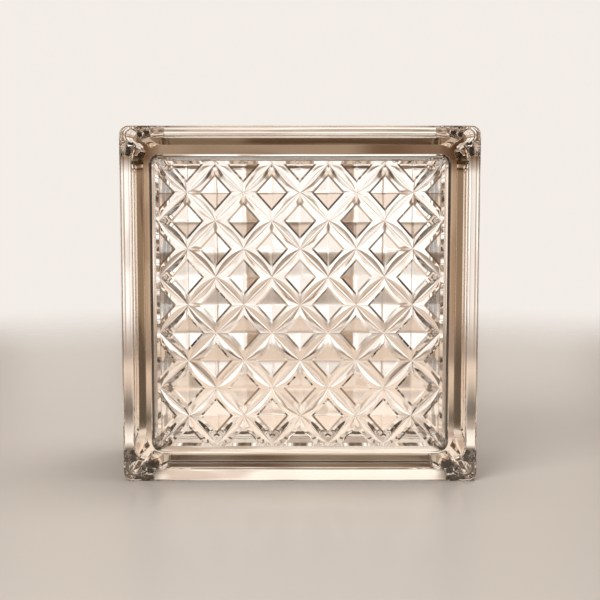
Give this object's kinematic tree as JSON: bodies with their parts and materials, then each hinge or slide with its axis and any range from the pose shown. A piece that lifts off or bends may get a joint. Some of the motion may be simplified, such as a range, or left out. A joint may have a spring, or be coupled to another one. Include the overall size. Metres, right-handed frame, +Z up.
{
  "type": "glass block",
  "caption": "Square hollow pressed glass block with a diamond lattice inside the front face and a mortar channel behind raised lips on every side, for light-passing walls.",
  "frame": {"origin": "under the middle of the block, on the plane of the lower lip rims that it stands on", "axes": "+X along the width, +Y from the front face to the back face, +Z up"},
  "size_m": [0.19, 0.08, 0.19],
  "materials": {
    "clear_glass": "clear pressed soda-lime glass with fire-polished surfaces"
  },
  "bodies": {
    "root": {"glass_block": "clear_glass"}
  },
  "joints": []
}
